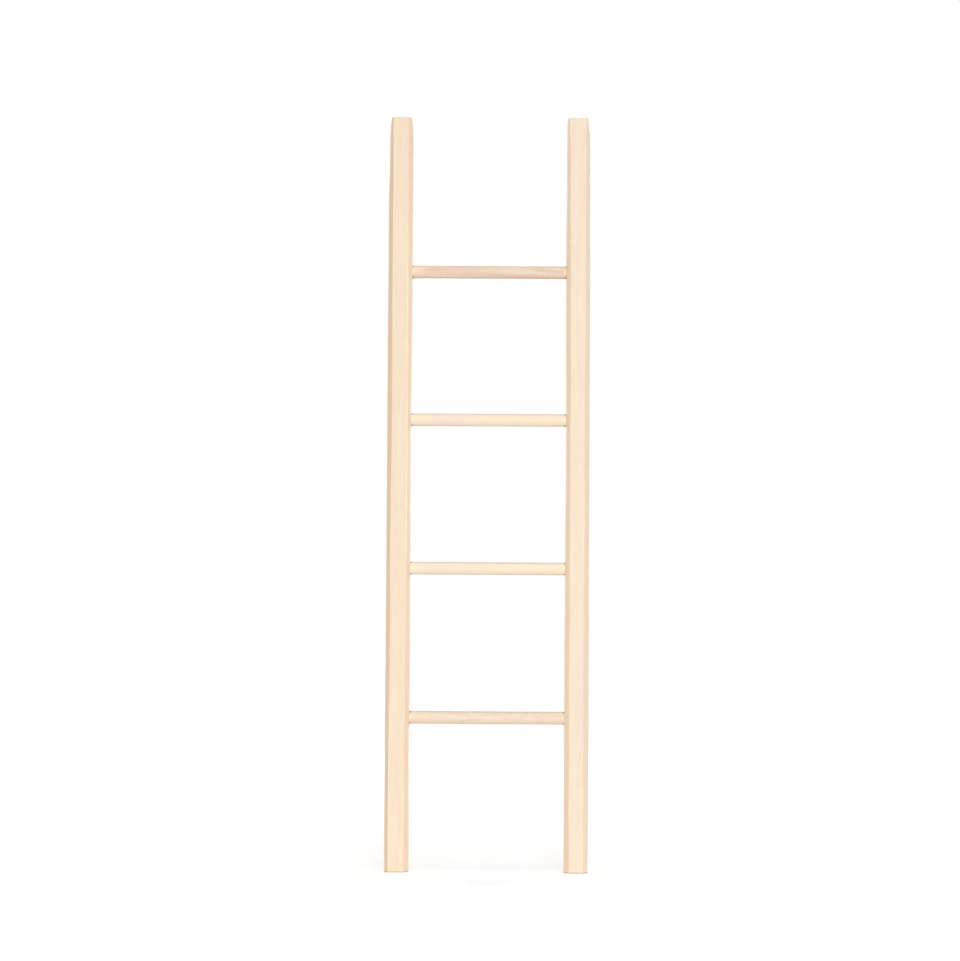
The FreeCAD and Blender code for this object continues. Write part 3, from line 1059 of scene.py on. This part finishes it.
@dataclass
class BlanketLadder:
    """The whole ladder: rails, rungs, plugs, pads and the screws that the CAD model keeps."""

    nodes: Mapping[str, Object]

    def rail(self, side: Side, joints: Sequence[RungJoint]) -> SideRail:
        """Choose one rail's timber and the way its sides were planed.

        Args:
            side: which rail.
            joints: its rung joints.

        Returns:
            The rail, ready to build.
        """
        if side is Side.LEFT:
            # The left rail's bevel tone is a deeper painted warm shade than the right rail's.
            wood = PaleSoftwood(
                name="pale softwood, left rail",
                early="#FAE5CC", late="#ECCAA2", blush="#FADEC6", honey="#F5E3C2",
                bevel_shade_tone="#F6C59B", pith=(6.0, 58.0), seed=0.31,
            )
            outer = PlaneWork(
                bevel=((0.22, 8.0), (0.5, 9.1), (1.0, 9.7), (1.42, 9.8), (1.49, 9.2)),
                inset=(
                    (0.0, 0.5), (0.09, 0.0), (1.335, 0.0), (1.39, 1.5), (1.43, 1.9), (1.465, 2.1),
                    (1.484, 3.4), (1.5, 5.0),
                ),
            )
            inner = PlaneWork(
                bevel=((0.05, 9.5), (0.44, 9.0), (0.74, 7.2), (0.97, 7.0), (1.2, 8.1), (1.48, 9.2)),
                inset=(
                    (0.05, 0.0), (0.12, 0.6), (0.174, 1.0), (0.253, 1.4), (0.34, 0.5), (0.45, 0.3),
                    (0.55, 0.75), (0.65, 0.75), (0.75, 1.1), (0.86, 1.2), (0.95, 0.8), (1.04, 0.0),
                    (1.46, 0.0), (1.476, 1.0), (1.492, 1.9), (1.5, 2.9),
                ),
            )
            return SideRail(side, wood, joints, outer, inner)
        wood = PaleSoftwood(
            name="pale softwood, right rail",
            early="#F9E6CF", late="#EBCBA7", blush="#F9DFCB", honey="#F5E4C7",
            pith=(-9.0, 64.0), seed=0.77,
        )
        outer = PlaneWork(
            bevel=((0.08, 10.7), (0.44, 11.3), (0.97, 10.2), (1.42, 9.4), (1.47, 9.8), (1.49, 8.8)),
            inset=(
                (0.0, 0.5), (0.09, 0.0), (1.21, 0.0), (1.26, 0.75), (1.33, 0.8), (1.42, 1.2),
                (1.456, 1.7), (1.466, 2.0), (1.484, 3.8), (1.5, 5.3),
            ),
        )
        inner = PlaneWork(
            bevel=((0.05, 10.0), (0.44, 9.7), (0.74, 9.0), (1.09, 9.8), (1.42, 7.4), (1.49, 5.6)),
            inset=(
                (0.0, 0.5), (0.09, 0.3), (0.16, 0.0), (0.45, 0.0), (0.5, 0.6), (0.65, 0.5),
                (0.77, 1.6), (0.85, 1.5), (0.95, 1.2), (1.06, 0.5), (1.25, 0.4), (1.35, 1.2),
                (1.46, 1.2), (1.484, 1.6), (1.5, 2.4),
            ),
        )
        return SideRail(side, wood, joints, outer, inner)

    def rung_wood(self, number: int) -> PaleSoftwood:
        """Choose one rung's timber: no two dowels are cut from the same board.

        Args:
            number: which rung, 1 for the lowest.

        Returns:
            The rung's wood.
        """
        name = f"pale softwood, rung {number}"
        shared = {"name": name, "grain": GrainAxis.ACROSS, "joint_at": 153.5}
        if number == 4:
            return PaleSoftwood(
                early="#F3DCC8", late="#DEB99C", blush="#EDCEBD", honey="#EED9B8",
                pith=(14.0, 38.0), slope=(5.0, 1.0), ring_width=11.0, ring_contrast=0.7,
                seed=0.13, **shared,
            )
        if number == 3:
            return PaleSoftwood(
                early="#FEE9D3", late="#F3D1AA", blush="#FEE5D3", honey="#FCECCE",
                pith=(52.0, 20.0), slope=(1.0, 0.0), ring_contrast=0.18, seed=0.52, **shared,
            )
        if number == 2:
            return PaleSoftwood(
                early="#FEECD5", late="#F3D3A9", blush="#FEE7D2", honey="#FDEBC9",
                pith=(18.0, 58.0), slope=(0.0, 1.0), ring_contrast=0.24, seed=0.88, **shared,
            )
        return PaleSoftwood(
            early="#F5E1CA", late="#E5C39C", blush="#F4D7C1", honey="#F4E1BE",
            pith=(40.0, -36.0), slope=(1.5, -1.0), seed=0.07,
            fleck=Fleck(colour="#FBEBCE", across=2.6, along=30.0, low=0.54, high=0.66, share=0.75),
            **shared,
        )

    def plug_wood(self, side: Side) -> PaleSoftwood:
        """Choose the timber of one rail's plugs, cut from offcuts a shade deeper than the rail.

        Args:
            side: which rail.

        Returns:
            The plugs' wood.
        """
        return PaleSoftwood(
            name=f"pale softwood, {side.word} plugs",
            early="#EFD4AF", late="#D6AB7D", blush="#E9C7A2", honey="#E8C894",
            pith=(9.0 * side.value, 22.0), slope=(2.0, 0.0), ring_width=2.4, ring_contrast=0.6,
            seed=0.45 + 0.2 * side.value,
        )

    def build(self) -> None:
        """Make and dress every piece."""
        numbers = range(1, RUNG_COUNT + 1)
        boxes = [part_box(f"rung_{number}") for number in numbers]
        joints = [RungJoint((low[2] + high[2]) / 2) for low, high in boxes]
        rubber, zinc = RubberSheet().make(), ZincPlate().make()
        for number in numbers:
            Rung(number, self.rung_wood(number)).build()
        for side in Side:
            self.rail(side, joints).build()
            FootPad(side, rubber).build()
            # One offcut, centred beside the middle of the rail, gives all four plugs.
            offcut = Vector((0.2 * side.value, 0.0, 0.75))
            plug_wood = self.plug_wood(side).make(offcut)
            for number in numbers:
                ScrewPlug(number, side, plug_wood).build()
                self.dress(f"rung_screw_{number}_{side.word}", zinc)

    def dress(self, node: str, material: Material) -> None:
        """Give a CAD node its finish.

        Args:
            node: the node's name.
            material: the finish.
        """
        for holder in self.nodes[node].material_slots:
            holder.material = material
        LOG.info("%s: kept from the CAD model, finished in %s", node, material.name)


# --- Studio ---


@dataclass
class Softbox:
    """One square studio lamp, aimed at the middle of the ladder."""

    name: str
    azimuth: float
    elevation: float
    size: float
    level: float
    distance: float = 9.0
    target_height: float = 0.75

    def hang(self) -> None:
        """Add the lamp.

        Its power is worked out from the level: the share of its own colour that a white matt
        card at the ladder sends back when it faces the lamp.
        """
        turn, lift = math.radians(self.azimuth), math.radians(self.elevation)
        towards = Vector(
            (math.sin(turn) * math.cos(lift), -math.cos(turn) * math.cos(lift), math.sin(lift))
        )
        lamp = bpy.data.lights.new(self.name, "AREA")
        lamp.shape = "SQUARE"
        lamp.size = self.size
        lamp.energy = self.level * (math.pi * self.distance) ** 2
        holder = add_object(self.name, lamp)
        holder.location = Vector((0.0, 0.0, self.target_height)) + towards * self.distance
        holder.rotation_euler = towards.to_track_quat("Z", "Y").to_euler()


@dataclass
class Studio:
    """White paper sweep, even white surroundings and soft lamps."""

    surround_level: float = 0.33
    floor_half: float = 3.5
    near_feet: float = 0.6
    lift_by_feet: float = 0.35
    lift_at_edge: float = 0.55
    paper: str = "#EFEFEF"
    softboxes: Sequence[Softbox] = (
        Softbox("key softbox, in front", azimuth=7.5, elevation=1.0, size=1.8, level=0.51),
        Softbox("top softbox", azimuth=10.0, elevation=78.0, size=4.5, level=0.31),
        Softbox("fill softbox, behind left", 225.0, 6.0, size=2.5, level=0.38, distance=7.0),
        Softbox("fill softbox, behind right", 135.0, 6.0, size=2.5, level=0.38, distance=7.0),
    )

    def seen_directly(self, tree: NodeTree) -> NodeSocket:
        """Find the rays that show the background itself.

        Args:
            tree: a material's or the world's node tree.

        Returns:
            1 for camera, mirror and see-through rays, 0 for the rays that carry light.
        """
        path = add_node(tree, "LightPath")
        mirrored = add_node(
            tree,
            "Math",
            {0: path.outputs["Is Glossy Ray"], 1: path.outputs["Is Transmission Ray"]},
            operation="MAXIMUM",
        ).outputs[0]
        return add_node(
            tree, "Math", {0: path.outputs["Is Camera Ray"], 1: mirrored}, operation="MAXIMUM"
        ).outputs[0]

    def light_surroundings(self) -> None:
        """Make the world: white to look at, dimmer as a light."""
        world = bpy.data.worlds.new("white studio")
        bpy.context.scene.world = world
        world.use_nodes = True
        tree = world.node_tree
        tree.nodes.clear()
        strength = add_node(
            tree,
            "MapRange",
            {"Value": self.seen_directly(tree), "To Min": self.surround_level, "To Max": 1.0},
        ).outputs["Result"]
        glow = add_node(tree, "Background", {"Color": linear("#FFFFFF"), "Strength": strength})
        add_node(tree, "OutputWorld", {"Surface": glow.outputs["Background"]})

    def lay_floor(self) -> None:
        """Lay the white paper floor, which looks as white as the surroundings away from shadow."""
        # To the eye: plain white all over, with only the faint shadow of the feet on it.
        material, tree = new_material("white paper sweep")
        paper = add_node(tree, "BsdfDiffuse", {"Color": linear(self.paper)})
        # Less lamp light falls near the paper's edge, so it is lifted more there.
        source = add_node(tree, "TexCoord")
        away = add_node(
            tree, "VectorMath", {0: source.outputs["Object"]}, operation="LENGTH"
        ).outputs["Value"]
        lift = add_node(
            tree, "MapRange", {
                "Value": away, "From Min": self.near_feet, "From Max": self.floor_half,
                "To Min": self.lift_by_feet, "To Max": self.lift_at_edge,
            },
        ).outputs["Result"]
        strength = add_node(
            tree, "Math", {0: self.seen_directly(tree), 1: lift}, operation="MULTIPLY"
        ).outputs[0]
        glow = add_node(tree, "Emission", {"Color": linear("#FFFFFF"), "Strength": strength})
        both = add_node(tree, "AddShader", {0: paper.outputs["BSDF"], 1: glow.outputs["Emission"]})
        add_node(tree, "OutputMaterial", {"Surface": both.outputs["Shader"]})
        bm = bmesh.new()
        bmesh.ops.create_grid(bm, x_segments=2, y_segments=2, size=self.floor_half)
        mesh = bpy.data.meshes.new("paper_floor")
        bm.to_mesh(mesh)
        bm.free()
        mesh.materials.append(material)
        floor = add_object("paper_floor", mesh)

    def set_up(self) -> None:
        """Build the floor, the surroundings and the lamps."""
        self.light_surroundings()
        self.lay_floor()
        for softbox in self.softboxes:
            softbox.hang()
            LOG.info("%s: level %.2f", softbox.name, softbox.level)


@dataclass
class PhotoCamera:
    """The photograph's camera: a short telephoto view from the front, looking slightly up."""

    place: tuple[float, float, float] = (0.019, -5.0, 0.5708)
    pitch: float = 2.343
    yaw: float = -0.404
    roll: float = 0.345
    lens: float = 94.05
    film_width: float = 36.0

    def set_up(self) -> None:
        """Add the camera and make it the scene's."""
        data = bpy.data.cameras.new("photo camera")
        data.lens = self.lens
        data.sensor_width = self.film_width
        camera = add_object("photo camera", data)
        level = Matrix.Rotation(math.radians(90.0 + self.pitch), 3, "X")
        turned = Matrix.Rotation(math.radians(-self.yaw), 3, "Z") @ level
        rolled = turned @ Matrix.Rotation(math.radians(self.roll), 3, "Z")
        camera.location = self.place
        camera.rotation_euler = rolled.to_euler()
        bpy.context.scene.camera = camera


def main() -> None:
    """Build the ladder's looks, the studio and the camera."""
    logging.basicConfig(level=logging.INFO, format="%(message)s")
    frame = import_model()
    bpy.context.scene.view_settings.view_transform = "Standard"
    BlanketLadder(frame["nodes"]).build()
    Studio().set_up()
    PhotoCamera().set_up()


if __name__ == "__main__":
    main()
